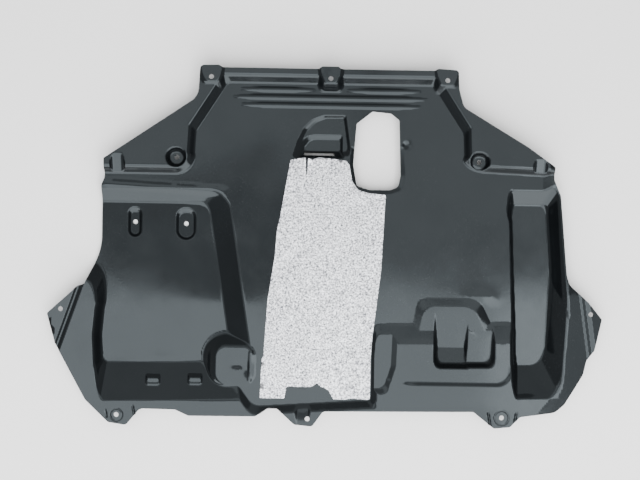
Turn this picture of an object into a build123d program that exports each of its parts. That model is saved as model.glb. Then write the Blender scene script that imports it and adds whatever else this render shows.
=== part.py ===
from build123d import *
from math import atan2, degrees, hypot
import os

# Engine splash shield: one vacuum-formed sheet of black plastic, with a thin heat reflector stuck to it.
# It lies as it is fitted, engine side up: +X to the right, +Y to the front, +Z up, in millimetres.
# Its lowest underside is at z = 0. Each level is the height of the sheet's upper face, and each profile is
# drawn where that face lies. Outlines run counter-clockwise as seen from above.

# Sheet and its levels
wall = 3.0
right_tub_depth = 22.0
left_tub_depth = 16.0
flange_rise = 8.0
frame_rise = 16.0
pad_rise = 5.0

right_floor = wall
panel = right_floor + right_tub_depth
left_floor = panel - left_tub_depth
flange = panel + flange_rise
frame = panel + frame_rise
pad = frame + pad_rise


# Bends where one field of the sheet meets the next
soft_bend = 8.0
bend = 5.0
foot_bend = 4.0
tight_bend = 3.0

# Trimmed edge: x, y and corner radius of each corner
pad_edge = 332.0
front_edge = pad_edge - 4
rear_edge = -298.0
rear_tab_edge = -329.0
left_edge = -417.0
tab_reach = 512.0
trim_left_front = [(-202, pad_edge, 4), (-236, pad_edge - 1, 8), (-239, pad_edge - 58, 30), (-411, 158, 3),
                   (-411, 124, 20)]
trim_left_side = [(left_edge, 109, 12), (left_edge, -6, 110), (-444, -74, 4), (-456, -78, 6)]
trim_left_tab = [(-tab_reach, -129, 3), (-496, -185, 8), (-439, -287, 12)]
trim_rear_left_tab = [(-396, rear_tab_edge + 1, 8), (-363, rear_tab_edge - 4, 8), (-338, rear_edge - 4, 14)]
trim_rear_left = [(-273, rear_edge - 5, 12), (-248, rear_edge - 16, 10), (-125, rear_edge - 15, 8),
                  (-103, rear_edge, 8)]
trim_rear_middle_tab = [(-85, rear_edge, 8), (-53, rear_tab_edge + 2, 8), (-20, rear_tab_edge - 1, 8),
                        (0, rear_edge - 4, 8)]
trim_rear_right_tab = [(277, rear_edge, 8), (315, rear_tab_edge + 1, 7), (345, rear_tab_edge + 4, 8),
                       (363, -306, 8)]
trim_rear_right = [(428, -297, 20), (445, -282, 14), (479, -226, 20), (485, -200, 10)]
trim_right_tab = [(499, -182, 6), (tab_reach, -124, 3), (486, -93, 30), (450, -61, 14)]
trim_right_side = [(445, -44, 14), (432, 103, 24), (419, 132, 12), (419, 155, 3)]
trim_right_front = [(368, 191, 6), (249, pad_edge - 70, 20), (240, pad_edge - 38, 20),
                    (238, pad_edge - 3, 7), (201, pad_edge - 1, 4)]
trim_front = [(195, front_edge, 4), (22, front_edge, 4), (18, pad_edge, 4), (-12, pad_edge, 4),
              (-18, front_edge, 4), (-195, front_edge, 4)]

# Blank that the form is shaped from: the margin is what the trimming takes away, and tools run on past it
margin = 43.0
blank_length = 2 * (tab_reach + margin)
blank_width = 2 * (pad_edge + margin)
blank_depth = 60.0
side_end = blank_length / 2 + margin
front_end = blank_width / 2 + margin

# Basin: the panel inside the raised flange. For each side the width of its slope, for each corner its radius
basin_corners = [(-side_end, front_end), (-side_end, -28), (-342, -28), (-152, -294), (97, -294),
                 (97, -174), (378, -167), (378, 52), (417, 62), (416, front_end)]
basin_runs = [0, 12, 12, 10, 8, 34, 12, 12, 13, 0]
basin_radii = [0, 0, 20, 12, 10, 12, 12, 12, 12, 0]

# Frame: both wings and the front flange between them
front_flange_edge = pad_edge - 30
frame_corners = [(-side_end, front_end), (-side_end, 132), (-265, 132), (-246, 154), (-244, 211),
                 (-186, front_flange_edge), (194, front_flange_edge), (252, 213), (254, 155), (278, 134),
                 (side_end, 134), (side_end, front_end)]
frame_runs = [0, 12, 12, 9, 9, 14, 9, 9, 9, 9, 0, 0]
frame_radii = [0, 0, 12, 16, 12, 12, 12, 12, 16, 20, 0, 0]

# Fixing pads along the front: middle of each, size, slopes and radius of the round rear end
pad_places = [-215.0, 4.0, 218.0]
pad_width = 50.0
pad_length = 44.0
pad_side_run = 4.0
pad_rear_run = 13.0
pad_radius = 18.0

# Tubs
left_tub_corners = [(-side_end, 105), (-side_end, -8), (-414, -64), (-423, -168), (-417, -266), (-124, -260),
                    (-174, 57), (-205, 105)]
left_tub_runs = [0, 40, 11, 11, 46, 40, 34, 26]
left_tub_radii = [0, 0, 40, 60, 30, 30, 30, 20]
right_tub_corners = [(337, 112), (352, -258), (430, -254), (439, -93), (425, 112)]
right_tub_runs = [11, 44, 22, 16, 26]
right_tub_radii = [12, 24, 30, 120, 8]

# Landing in the left tub's rear corner
landing_rise = 2.0
landing_corners = [(-192, -188), (-192, -254), (-126, -254), (-126, -188)]
landing_runs = [14, 10, 8, 14]
landing_radii = [14, 24, 20, 14]

# Louvres on the left tub's rear slope: middle and size of each, level of their tops
louvres = [(-316.0, -248.0), (-238.0, -246.0)]
louvre_width = 32.0
louvre_length = 30.0
louvre_rise = 12.5
louvre_run = 5.0

# Fixing cups in the left tub: middle, width and length of each
cup_sizes = [(-356.0, 42.0, 26.0, 56.0), (-261.0, 40.0, 37.0, 60.0)]
cup_run = 5.0

# Round cups in the wings
wing_cups = [(-278.0, 162.0), (280.0, 162.0)]
wing_cup_size = 36.0
wing_cup_depth = 14.0
wing_cup_run = 4.0

# Scallops under the outer ends of the wings
scallops = [(-388.0, 131.0), (394.0, 133.0)]
scallop_radius = 13.0
scallop_length = 38.0

# Stiffening beads behind the front flange: length and place of each, and the gap for the middle pad
bead_radius = 8.0
bead_height = 3.0
bead_pitch = 14.3
bead_first = 291.0
bead_ends = [(-162.0, 170.0), (-175.0, 183.0), (-161.0, 171.0)]
bead_taper = 30.0
bead_gap = (-24.0, 34.0)

# Scoop in front of the reflector, in two steps, with the outlet slot in its rear side
scoop_step = 6.0
scoop_corners = [(-68, 170), (44, 170), (33, 244), (-52, 244)]
scoop_runs = [8, 6, 5, 8]
scoop_radii = [6, 8, 5, 42]
scoop_inner_corners = [(-56, 172), (28, 172), (28, 207), (-44, 207)]
scoop_inner_runs = [7, 6, 4, 7]
scoop_inner_radii = [5, 5, 5, 20]
slot_corners = [(-43, 170.5), (15, 170.5), (10, 177), (-43, 177)]

# Tee: a low bar across the panel and a recess behind it, cut down into the raised field. The recess has a
# sloping floor, and a valley in its left half that falls from the front and rises again behind
bar_rise = 3.0
bar_corners = [(154, -188), (348, -188), (310, -90), (172, -88)]
bar_runs = [16, 16, 14, 14]
bar_radii = [0, 0, 30, 24]
recess_depth = 14.0
recess_corners = [(202, -100), (203, -218), (315, -216), (314, -100)]
recess_runs = [6, 9, 6, 6]
recess_radii = [0, 14, 14, 0]
recess_slope = 0.12
valley_depth = 18.0
valley_line = -181.0
valley_width = 64.0
valley_radii = [0, 14, 5, 0]
valley_slope = 0.31
valley_back_slope = -0.16

# Shelf beside the reflector's rear corner, cut into the raised field
shelf_depth = 4.0
shelf_corners = [(70, -130), (70, -268), (118, -268), (134, -215), (137, -130)]
shelf_runs = [6, 9, 10, 11, 6]
shelf_radii = [0, 0, 10, 0, 0]

# Bowl of the middle rear tab, open to the basin
bowl_place = (-38.0, -304.0)
bowl_width = 48.0
bowl_length = 58.0
bowl_depth = 4.0
bowl_run = 8.0

# Fold grooves of the side tabs: where each starts and ends, width and depth
tab_grooves = [((-448.0, -60.0), (-500.0, -211.0), 13.0, 3.5), ((456.6, -32.0), (492.0, -232.0), 24.0, 6.0)]
groove_floor = 3.0

# Access cut-out: x, y and corner radius of each corner
cutout_corners = [(82, 253, 4), (53, 230, 4), (48, 154, 20), (55, 115, 6), (78, 108, 12), (116, 108, 14),
                  (132, 114, 10), (136, 135, 14), (132, 238, 4), (116, 250, 6)]
cutout_lip = 7.0
cutout_drop = 2.5

# Fixing holes
hole_radius = 4.5
pad_hole_y = pad_edge - pad_length / 2
rear_holes = [(-381.0, -314.0), (-29.0, -316.0), (329.0, -308.0)]
side_holes = [(-487.0, -121.0), (491.0, -115.0)]

# Heat reflector: x, y and corner radius of each corner, and the torn notch at its rear edge
reflector_thickness = 1.0
reflector_corners = [(-40, 167, 0), (-68, 161, 2), (-86, 53, 0), (-94, -17, 0), (-106, -99, 0),
                     (-113, -203, 0), (-117, -209, 0), (-119, -280, 3), (86, -280, 3), (86, -162, 0),
                     (103, -41, 0), (110, 103, 2), (40, 155, 0), (35, 161, 4), (-16, 167, 0),
                     (-28, 161.5, 0)]
notch_corners = [(-71, -294), (-69, -260), (-54, -258), (-23, -258), (-12, -250.5), (10, -264), (18, -294)]
tear_corners = [(-39, 172), (-37, 132), (-35.5, 172)]


def ring(corners):
    """Closed line through corners that each carry their own radius."""
    return FilletPolyline(*[(x, y) for x, y, r in corners], radius=[r for x, y, r in corners], close=True)


def turns_left(corners, index):
    """Whether an outline bulges out at one of its corners."""
    places = (index - 1, index, (index + 1) % len(corners))
    before, corner, after = (Vector(*corners[place]) for place in places)
    return (corner - before).cross(after - corner).Z > 0


def inset(corners, runs):
    """Outline whose sides lie inside the given ones, each by its own run."""
    moved = []
    for index, (x, y) in enumerate(corners):
        before = corners[index - 1]
        after = corners[(index + 1) % len(corners)]
        u = Vector(x - before[0], y - before[1]).normalized()
        v = Vector(after[0] - x, after[1] - y).normalized()
        turn = u.X * v.Y - u.Y * v.X
        a, b = runs[index - 1], runs[index]
        moved.append((x + (a * v.X - b * u.X) / turn, y + (a * v.Y - b * u.Y) / turn))
    return moved


def on_tilted(start, finish, level, tilt, hinge):
    """Point on the line from start to finish at the height of a plane that rises along +Y by tilt."""
    start, finish = Vector(start), Vector(finish)
    way = finish - start
    share = (level + tilt * (start.Y - hinge) - start.Z) / (way.Z - tilt * way.Y)
    return tuple(start + way * share)


def tapered(corners, runs, radii, near, far, reach, drop, hollow, end_radius, tilt=0.0, hinge=0.0):
    """Solid between two levels whose sides slope in by their runs from near to far.

    It goes on past near up to reach. Its skin is moved by drop: outwards if hollow, else inwards.
    The end face may rise along +Y by tilt, and is at far where y is hinge.
    """
    rise = abs(far - near)
    out = 1 if hollow else -1
    growth = [out * drop * (hypot(run, rise) - run) / rise for run in runs]
    overrun = abs(reach - near) / rise
    end = [(x, y, far - drop) for x, y in inset(corners, [run - grown for run, grown in zip(runs, growth)])]
    mouth = [(x, y, reach - drop)
             for x, y in inset(corners, [-run * overrun - grown for run, grown in zip(runs, growth)])]
    if tilt:
        level = far - drop * hypot(1, tilt)
        end = [on_tilted(low, high, level, tilt, hinge) for low, high in zip(end, mouth)]
    sides = [(end[i - 1], end[i], mouth[i], mouth[i - 1]) for i in range(len(end))]
    faces = [Face(Wire.make_polygon(corner_ring, close=True)) for corner_ring in [end, mouth] + sides]
    with BuildPart() as tool:
        add(Solid(Shell(faces)))
        for index, radius in enumerate(radii):
            if radius:
                slanted = tool.edges().filter_by(lambda edge: abs(edge.tangent_at(0).Z) > 0.01)
                middle = (Vector(end[index]) + Vector(mouth[index])) / 2
                sense = out if turns_left(corners, index) else -out
                fillet(slanted.sort_by_distance(middle)[0], radius + sense * drop)
        if end_radius:
            ends = tool.faces().sort_by(Axis.Z)
            fillet((ends[0] if far < near else ends[-1]).edges(), end_radius + out * drop)
    return tool.part


def pocket(corners, runs, radii, rim, floor, drop, floor_bend=0.0, clearance=10.0, tilt=0.0, hinge=0.0):
    """Recess below rim that opens upwards, and clears what stands above rim."""
    return tapered(corners, runs, radii, rim, floor, rim + clearance, drop, True, floor_bend, tilt, hinge)


def boss(corners, runs, radii, base, top, drop, top_bend=0.0, root=4.0):
    """Raised field above base, which goes on down into the block."""
    return tapered(corners, runs, radii, base, top, base - root, drop, False, top_bend)


def cup(place, width, length, run, rim, floor, drop, floor_bend):
    """Recess below rim with round ends and a tapered side. It is a round cup where length equals width."""
    depth = rim - floor
    less = run - drop * (hypot(run, depth) - run) / depth
    with BuildPart() as tool:
        with BuildSketch(Plane.XY.offset(floor - drop)):
            with Locations(place):
                if length > width:
                    SlotCenterToCenter(length - width, width - 2 * less, rotation=90)
                else:
                    Circle(width / 2 - less)
        extrude(amount=2 * depth, taper=-degrees(atan2(run, depth)))
        if floor_bend:
            fillet(tool.faces().sort_by(Axis.Z)[0].edges(), floor_bend + drop)
    return tool.part


def scallop(place, drop):
    """Half-round trough that runs down from a wing's top to the panel behind it."""
    slope = frame_rise / scallop_length
    base = Vector(place[0], place[1], panel - drop)
    along = Vector(0, 1, slope).normalized()
    up = Vector(0, -slope, 1).normalized()
    with BuildPart() as tool:
        with BuildSketch(Plane(base + up * (scallop_radius + drop), z_dir=along)):
            Circle(scallop_radius + drop)
        extrude(amount=2 * scallop_length)
    return tool.part


def bead(start, end, y, drop):
    """Ridge of round section along X with pointed ends."""
    sunk = bead_radius - bead_height
    radius = bead_radius - drop
    with BuildPart() as tool:
        with BuildSketch(Plane.XY.offset(panel - sunk)):
            with BuildLine():
                Polyline((start, y), (start, y + sunk - drop), (start + bead_taper, y + radius),
                         (end - bead_taper, y + radius), (end, y + sunk - drop), (end, y), close=True)
            make_face()
        revolve(axis=Axis((start, y, panel - sunk), (1, 0, 0)))
    return tool.part


def bead_rows():
    """Start, end and place of each length of bead: the first row is broken by the middle pad."""
    rows = [(start, end, bead_first - row * bead_pitch) for row, (start, end) in enumerate(bead_ends)]
    start, end, y = rows[0]
    return [(start, bead_gap[0], y), (bead_gap[1], end, y)] + rows[1:]


def box_corners(middle_x, middle_y, size_x, size_y):
    """Corners of a rectangle."""
    x, y = size_x / 2, size_y / 2
    return [(middle_x - x, middle_y + y), (middle_x - x, middle_y - y),
            (middle_x + x, middle_y - y), (middle_x + x, middle_y + y)]


def small_bend(radius, drop):
    """Bend of a small feature: the sheet's underside, where drop isn't zero, is left sharp there."""
    return 0.0 if drop else radius


def pads(drop):
    """Fixing pads, each with its flat front end outside the trimmed edge."""
    length = pad_length + margin
    for x in pad_places:
        corners = box_corners(x, pad_edge - pad_length + length / 2, pad_width, length)
        yield boss(corners, [pad_side_run, pad_rear_run, pad_side_run, pad_side_run],
                   [0, pad_radius, pad_radius, 0], panel, pad, drop, small_bend(bend, drop))


def louvre(place, drop):
    """Small box that stands out of the left tub's rear slope."""
    return boss(box_corners(*place, louvre_width, louvre_length), [louvre_run] * 4, [louvre_run] * 4,
                left_floor, left_floor + louvre_rise, drop)


def raised(drop):
    """What stands up from the tubs and the panel: landing, louvres and beads."""
    return [boss(landing_corners, landing_runs, landing_radii, left_floor, panel + landing_rise, drop, bend),
            *[louvre(place, drop) for place in louvres],
            *[bead(start, end, y, drop) for start, end, y in bead_rows()]]


def groove(start, end, width, depth, drop):
    """Shallow groove with sloping sides along a straight fold line in the flange."""
    start, end = Vector(start), Vector(end)
    across = (end - start).normalized().rotate(Axis.Z, 90) * width / 2
    corners = [(point.X, point.Y) for point in (start + across, start - across, end - across, end + across)]
    if not turns_left(corners, 1):
        corners.reverse()
    run = (width - groove_floor) / 2
    return pocket(corners, [run] * 4, [0] * 4, flange, flange - depth, drop)


def valley(drop):
    """Deep half of the recess behind the tee bar: its floor folds along a line across the part."""
    left, right = recess_corners[0][0], recess_corners[1][0] + valley_width
    corners = [recess_corners[0], recess_corners[1], (right, recess_corners[1][1]),
               (right, recess_corners[0][1])]
    level = flange - valley_depth
    fold = Plane((left, valley_line, level - drop * hypot(1, valley_slope)), z_dir=(0, -valley_slope, 1))
    with BuildPart() as tool:
        add(pocket(corners, recess_runs, valley_radii, flange, level, drop, small_bend(tight_bend, drop),
                   tilt=valley_back_slope, hinge=valley_line))
        split(bisect_by=fold, keep=Keep.TOP)
    return tool.part


def cups(drop):
    """Fixing cups of the left tub, the wings and the middle rear tab, and the scoop's first step."""
    floor_bend = small_bend(tight_bend, drop)
    return [*[cup((x, y), width, length, cup_run, left_floor, right_floor, drop, floor_bend)
              for x, y, width, length in cup_sizes],
            *[cup(place, wing_cup_size, wing_cup_size, wing_cup_run, frame, frame - wing_cup_depth, drop,
                  floor_bend) for place in wing_cups],
            cup(bowl_place, bowl_width, bowl_length, bowl_run, flange, flange - bowl_depth, drop,
                floor_bend),
            pocket(scoop_corners, scoop_runs, scoop_radii, panel, panel - scoop_step, drop, floor_bend)]


def hollows(drop):
    """The scoop's second step, recess and valley, shelf, fold grooves and scallops."""
    floor_bend = small_bend(tight_bend, drop)
    return [pocket(scoop_inner_corners, scoop_inner_runs, scoop_inner_radii, panel - scoop_step,
                   panel - 2 * scoop_step, drop, floor_bend),
            pocket(recess_corners, recess_runs, recess_radii, flange, flange - recess_depth, drop,
                   floor_bend, tilt=recess_slope, hinge=recess_corners[1][1]),
            valley(drop),
            pocket(shelf_corners, shelf_runs, shelf_radii, flange, flange - shelf_depth, drop),
            *[groove(start, end, width, depth, drop) for start, end, width, depth in tab_grooves],
            *[scallop(place, drop) for place in scallops]]


def lip(drop):
    """Shallow recess that turns the panel down round the access cut-out."""
    corners = inset([(x, y) for x, y, radius in cutout_corners], [-cutout_lip] * len(cutout_corners))
    count = len(corners)
    return pocket(corners, [cutout_lip] * count, [0] * count, panel, panel - cutout_drop, drop)


def stages(drop):
    """Tools that shape the form, stage by stage: tools, mode and bend at their seams."""
    return [([pocket(basin_corners, basin_runs, basin_radii, flange, panel, drop, bend)],
             Mode.SUBTRACT, soft_bend - drop),
            ([boss(frame_corners, frame_runs, frame_radii, panel, frame, drop, soft_bend)], Mode.ADD,
             foot_bend),
            ([*pads(drop), boss(bar_corners, bar_runs, bar_radii, panel, panel + bar_rise, drop, bend)],
             Mode.ADD, 0),
            ([pocket(left_tub_corners, left_tub_runs, left_tub_radii, panel, left_floor, drop, soft_bend)],
             Mode.SUBTRACT, soft_bend),
            ([pocket(right_tub_corners, right_tub_runs, right_tub_radii, panel, right_floor, drop,
                     soft_bend)], Mode.SUBTRACT, bend),
            (raised(drop), Mode.ADD, 0),
            (cups(drop), Mode.SUBTRACT, small_bend(tight_bend, drop)),
            ([lip(drop)], Mode.SUBTRACT, 0),
            (hollows(drop), Mode.SUBTRACT, 0)]


def seam(block, before, tools):
    """Edges where the skins of tools meet the skin that the block had before them."""
    skin = Part(before.wrapped).shell()
    tool_skins = [tool.shell() for tool in tools]

    def joins(edge):
        middle = edge @ 0.5
        if abs(middle.X) > blank_length / 2 - 1 or abs(middle.Y) > blank_width / 2 - 1:
            return False
        return skin.distance_to(middle) < 0.01 and any(one.distance_to(middle) < 0.01 for one in tool_skins)

    return block.edges(Select.LAST).filter_by(joins)


def moulded(drop):
    """Block whose upper side is the sheet's upper face, moved into it by drop."""
    with BuildPart() as block:
        with BuildSketch(Plane.XY.offset(flange - drop)):
            Rectangle(blank_length + 2 * drop, blank_width + 2 * drop)
        extrude(amount=-blank_depth - 2 * drop)
        for tools, mode, seam_bend in stages(drop):
            before = block.part
            add(tools, mode=mode)
            if seam_bend:
                fillet(seam(block, before, tools), seam_bend)
    return block.part


upper = moulded(0.0)
lower = moulded(wall)

with BuildPart() as shield_panel:
    add(upper)
    add(lower, mode=Mode.SUBTRACT)
    with BuildSketch(Plane.XY.offset(-blank_depth)):
        with BuildLine():
            ring(trim_left_front + trim_left_side + trim_left_tab + trim_rear_left_tab + trim_rear_left
                 + trim_rear_middle_tab + trim_rear_right_tab + trim_rear_right + trim_right_tab
                 + trim_right_side + trim_right_front + trim_front)
        make_face()
    extrude(amount=3 * blank_depth, mode=Mode.INTERSECT)
    with BuildSketch(Plane.XY.offset(-blank_depth)):
        with BuildLine():
            ring(cutout_corners)
        make_face()
        with BuildLine():
            Polyline(*slot_corners, close=True)
        make_face()
        with Locations(*[(x, pad_hole_y) for x in pad_places], *rear_holes, *side_holes, *wing_cups,
                       *[(x, y) for x, y, width, length in cup_sizes]):
            Circle(hole_radius)
    extrude(amount=3 * blank_depth, mode=Mode.SUBTRACT)
shield_panel.part.label = "shield_panel"

with BuildPart() as heat_reflector:
    with BuildSketch(Plane.XY.offset(panel)):
        with BuildLine():
            ring(reflector_corners)
        make_face()
        with BuildSketch(mode=Mode.SUBTRACT):
            with BuildLine():
                ring(cutout_corners)
            make_face()
            offset(amount=cutout_lip)
        with BuildSketch(mode=Mode.SUBTRACT):
            with BuildLine():
                Polyline(*notch_corners, close=True)
            make_face()
            with BuildLine():
                Polyline(*tear_corners, close=True)
            make_face()
    extrude(amount=reflector_thickness)
heat_reflector.part.label = "heat_reflector"

os.makedirs("parts", exist_ok=True)
export_step(shield_panel.part, "parts/shield_panel.step")
export_step(heat_reflector.part, "parts/heat_reflector.step")
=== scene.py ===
import math

import bpy
import numpy as np
from mathutils.geometry import delaunay_2d_cdt
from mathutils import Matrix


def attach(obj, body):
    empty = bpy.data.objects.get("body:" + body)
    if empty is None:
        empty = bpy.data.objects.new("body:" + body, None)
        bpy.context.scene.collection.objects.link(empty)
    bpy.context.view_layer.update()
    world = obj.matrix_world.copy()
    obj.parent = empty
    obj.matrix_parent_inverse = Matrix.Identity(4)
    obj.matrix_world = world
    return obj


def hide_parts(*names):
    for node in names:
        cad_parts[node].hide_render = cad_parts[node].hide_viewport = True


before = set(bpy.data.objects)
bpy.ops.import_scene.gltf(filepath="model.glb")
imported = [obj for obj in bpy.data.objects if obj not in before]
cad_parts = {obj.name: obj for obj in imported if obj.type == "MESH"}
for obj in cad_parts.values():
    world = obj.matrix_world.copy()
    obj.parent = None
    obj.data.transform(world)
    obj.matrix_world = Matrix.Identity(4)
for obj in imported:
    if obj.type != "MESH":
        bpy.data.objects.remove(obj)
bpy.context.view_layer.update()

mm = 0.001  # sizes below are in millimetres, meshes in metres

# Form of the plastic sheet. A corner is x, y, width of the slope along the side that starts there, radius.
# near is the level at which a slope starts, far the one at which it ends, rim and end are the bends there.
# Soft stretches of a bend are the axis, where they start and end, and the factor that their bends reach.
shield = {
    "thickness": 3.0,
    "finestGrid": 1.7,
    "gridLevels": 4,
    "bendPerStep": 0.22,
    "panel": 25.0,
    "flange": 33.0,
    "flangeFade": (28.0, 32.0),
    "basin": {"near": 33, "far": 25, "rim": 8, "end": 5, "soft": [("x", 80, 140, 5.0)], "corners": [
        (-582, 418, 12, 0), (-582, -28, 12, 0), (-342, -28, 12, 20), (-134, -310, 14, 26), (97, -294, 8, 10),
        (97, -174, 34, 16), (378, -167, 12, 12), (378, 52, 12, 12), (417, 62, 13, 12), (416, 418, 12, 0)]},
    "frontFrame": {"near": 25, "far": 41, "rim": 4, "end": 8, "corners": [
        (-582, 418, 12, 0), (-582, 132, 12, 0), (-248, 132, 10, 34), (-244, 211, 14, 12),
        (-186, 302, 14, 12), (194, 302, 14, 12), (252, 213, 10, 12), (255, 134, 10, 34),
        (582, 134, 12, 0), (582, 418, 12, 0)]},
    "bar": {"near": 25, "far": 28, "rim": 6, "end": 8, "corners": [
        (154, -188, 16, 0), (334, -188, 16, 0), (286, -90, 14, 30), (172, -90, 14, 24)]},
    "leftTub": {"near": 25, "far": 9, "rim": 6, "end": 6, "soft": [("x", -290, -205, 3.2)], "corners": [
        (-582, 105, 12, 0), (-582, -8, 22, 0), (-414, -64, 7.5, 40), (-423, -168, 7.5, 60),
        (-417, -266, 46, 24), (-124, -260, 40, 50), (-178, 76, 34, 30), (-200, 105, 26, 30)]},
    "rightTub": {"near": 25, "far": 3, "rim": 5, "end": 5, "soft": [("x", 390, 430, 2.6)], "corners": [
        (337, 112, 4, 12), (342, 10, 12, 60), (352, -258, 44, 20), (430, -254, 22, 34), (439, -93, 16, 120),
        (425, 112, 26, 14)]},
    "landing": {"left": -198.0, "right": -132.0, "front": -188.0, "rear": -252.0, "radius": 18.0,
                "floor": 9.0, "level": 26.5, "run": 30.0, "outerSlope": 2.0, "blend": 2.5},
    "scoop": {"near": 25, "far": 19, "rim": 3, "end": 3, "corners": [
        (-60, 170, 8, 6), (44, 170, 4, 8), (33, 245, 4, 5), (-8, 244.5, 6, 30), (-29, 236.5, 7, 24),
        (-46, 219, 8, 24), (-57, 196, 8, 24)]},
    "scoopStep": {"near": 19, "far": 13, "rim": 2, "end": 3, "corners": [
        (-56, 172, 7, 5), (28, 172, 4, 5), (28, 209, 8, 5), (-44, 209, 8, 26)]},
    "recess": {"near": 33, "far": 19, "rim": 3, "end": 5, "corners": [
        (202, -100, 6, 0), (203, -218, 9, 14), (315, -216, 6, 14), (314, -100, 6, 0)]},
    "recessFloor": {"hinge": -218.0, "slope": 0.12},
    "valley": {"near": 33, "far": 15, "rim": 3, "end": 4, "corners": [
        (202, -100, 6, 0), (203, -218, 9, 14), (267, -218, 6, 5), (267, -100, 6, 0)]},
    "valleyFloor": {"line": -181.0, "frontSlope": 0.31, "backSlope": -0.16},
    "shelf": {"near": 33, "far": 29, "rim": 8, "end": 8, "corners": [
        (70, -130, 6, 0), (70, -268, 9, 0), (118, -268, 10, 16), (134, -215, 11, 30), (137, -130, 6, 0)]},
    "bowl": {"left": -58.0, "right": -18.0, "front": -280.0, "rise": 0.4, "slope": 0.16, "run": 11.0,
             "sideHeight": 8.0, "open": -262.0, "openSlope": 4.0, "blend": 3.0},
    "lip": {"near": 25, "far": 22.5, "rim": 4, "end": 2, "reach": 7.0, "radius": 8.0, "fade": (180.0, 215.0),
            "fadeRise": 20.0},
    "skirt": {"start": 447.0, "frontLean": 0.16, "frontLeanFrom": -80.0, "rearLean": 0.035,
              "rearLeanFrom": -60.0, "corner": (444.0, -236.0), "cornerFacing": (0.774, -0.633),
              "cornerBlend": 8.0, "slope": 0.14, "ease": 8.0, "foldStart": (462.5, -40.0),
              "foldEnd": (493.0, -240.0), "step": 1.3, "stepRun": 3.5, "ridge": 10.0, "ridgeSlope": 0.36,
              "ridgeRun": 7.0},
    "pads": {"places": [-215.0, 4.0, 218.0], "width": 50.0, "rear": 288.0, "level": 46.0, "sideRun": 4.0,
             "rearRun": 13.0, "radius": 18.0, "rim": 4.0, "end": 5.0, "open": 420.0},
    "cups": {"bend": 3.5, "frontSoftness": 0.8, "places": [
        # x, y, width, length, width of the wall, level of the rim, level of the floor
        (-356.0, 42.0, 26.0, 56.0, 5.0, 9, 3), (-261.0, 40.0, 37.0, 60.0, 5.0, 9, 3),
        (-278.0, 162.0, 36.0, 36.0, 4.0, 41, 27), (280.0, 162.0, 36.0, 36.0, 4.0, 41, 27)]},
    "louvres": {"places": [(-316.0, -248.0), (-238.0, -246.0)], "width": 34.0, "length": 31.0, "level": 23.3,
                "wallRun": 4.0, "frontRun": 14.0, "radius": 5.0, "rim": 2.0, "end": 2.0},
    "beads": {"radius": 8.0, "height": 1.9, "taper": 40.0, "outerSlope": 3.0, "blend": 1.0, "places": [
        # start and end in x, y
        (-162.0, -24.0, 291.0), (34.0, 170.0, 291.0), (-175.0, 183.0, 276.7), (-161.0, 171.0, 262.4)]},
    "groove": {"start": (-448.0, -60.0), "end": (-500.0, -211.0), "width": 13.0, "floorWidth": 3.0,
               "depth": 3.5, "blend": 0.8},
    "scallops": {"places": [(-386.0, 131.0), (392.0, 133.0)], "flat": 6.0, "radius": 8.0, "rise": 1.5,
                 "slope": 0.42, "outerSlope": 3.0, "blend": 1.5},
    "limits": {"below": 0.1, "blend": 0.4},
}


# Rounded larger of two heights: where they differ by less than blend, a parabola joins them.
def roundedMax(a, b, blend):
    near = np.clip(1 - np.abs(a - b) / np.maximum(blend, 1e-9), 0, None)
    return np.maximum(a, b) + near * near * blend / 4


# Rounded smaller of two heights, the rounded larger one turned upside down.
def roundedMin(a, b, blend):
    return -roundedMax(-a, -b, blend)


# Smooth step from 0 to 1, level at both ends: three t squared less two t cubed.
def smoothStep(t):
    t = np.clip(t, 0, 1)
    return t * t * (3 - 2 * t)


# Smooth step of a value between the two ends of a fade, which may run either way.
def faded(value, ends):
    return smoothStep((value - ends[0]) / (ends[1] - ends[0]))


# Signed distance outside the line through each side of a closed outline, one row for each side.
def sideDistances(x, y, corners):
    along = np.roll(corners, -1, axis=0) - corners
    along /= np.linalg.norm(along, axis=1)[:, None]
    return (x[None] - corners[:, :1]) * along[:, 1:] - (y[None] - corners[:, 1:]) * along[:, :1]


# Twice the area of the triangle of three points, above zero where they turn left.
def turnAt(a, b, c):
    return (b[0] - a[0]) * (c[1] - b[1]) - (b[1] - a[1]) * (c[0] - b[0])


# Corners of a run of an outline that lie on its convex hull, in order along it.
def hullOf(corners, run):
    kept = []
    for index in run:
        while len(kept) > 1 and turnAt(corners[kept[-2]], corners[kept[-1]], corners[index]) <= 0:
            kept.pop()
        kept.append(index)
    return kept


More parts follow.
